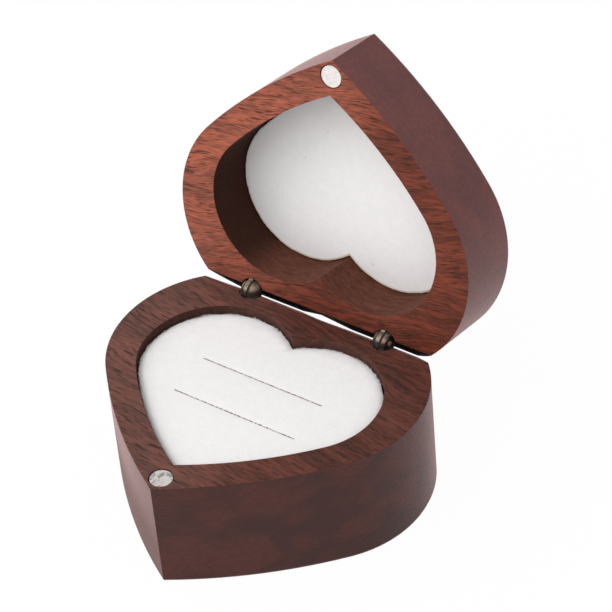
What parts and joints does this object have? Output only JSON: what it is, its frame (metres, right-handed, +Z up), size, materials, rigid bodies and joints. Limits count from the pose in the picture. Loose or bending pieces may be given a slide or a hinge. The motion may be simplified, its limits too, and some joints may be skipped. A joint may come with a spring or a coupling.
{
  "type": "ring display box",
  "caption": "Heart-shaped wooden ring box with a slotted velvet ring pad, a lined lid on barrel hinges and a magnetic closure at the tip, shown open.",
  "frame": {"origin": "middle of the base's flat resting face", "axes": "+Z up out of the base; +Y towards the hinge line at the back, so the tip of the heart points to -Y; +X to the right seen from the tip"},
  "size_m": [0.06, 0.0741, 0.0715],
  "materials": {
    "base_wood": "satin oiled walnut",
    "lid_wood": "satin oiled walnut, a little redder",
    "velvet": "short soft pile",
    "foam": "open-cell foam, matte",
    "fibreboard": "matte, edge scorched by the cut",
    "nickel": "plated, scuffed",
    "bronze": "antiqued, edges rubbed bright",
    "copper": "antiqued copper tone"
  },
  "bodies": {
    "base": {"base_shell": "base_wood", "base_magnet": "nickel", "pad_foam": "foam", "pad_velvet": "velvet", "base_barrel_left": "bronze", "base_barrel_right": "bronze", "pin_left": "copper", "pin_right": "copper"},
    "lid": {"lid_shell": "lid_wood", "lid_magnet": "nickel", "liner_board": "fibreboard", "liner_velvet": "velvet", "lid_barrel_left": "bronze", "lid_barrel_right": "bronze"}
  },
  "joints": [
    {"name": "lid_turn", "type": "hinge", "parent": "base", "child": "lid", "pos_m": [0, 0.0238, 0.02225], "axis": [1, 0, 0], "range_deg": [0, 102]}
  ]
}
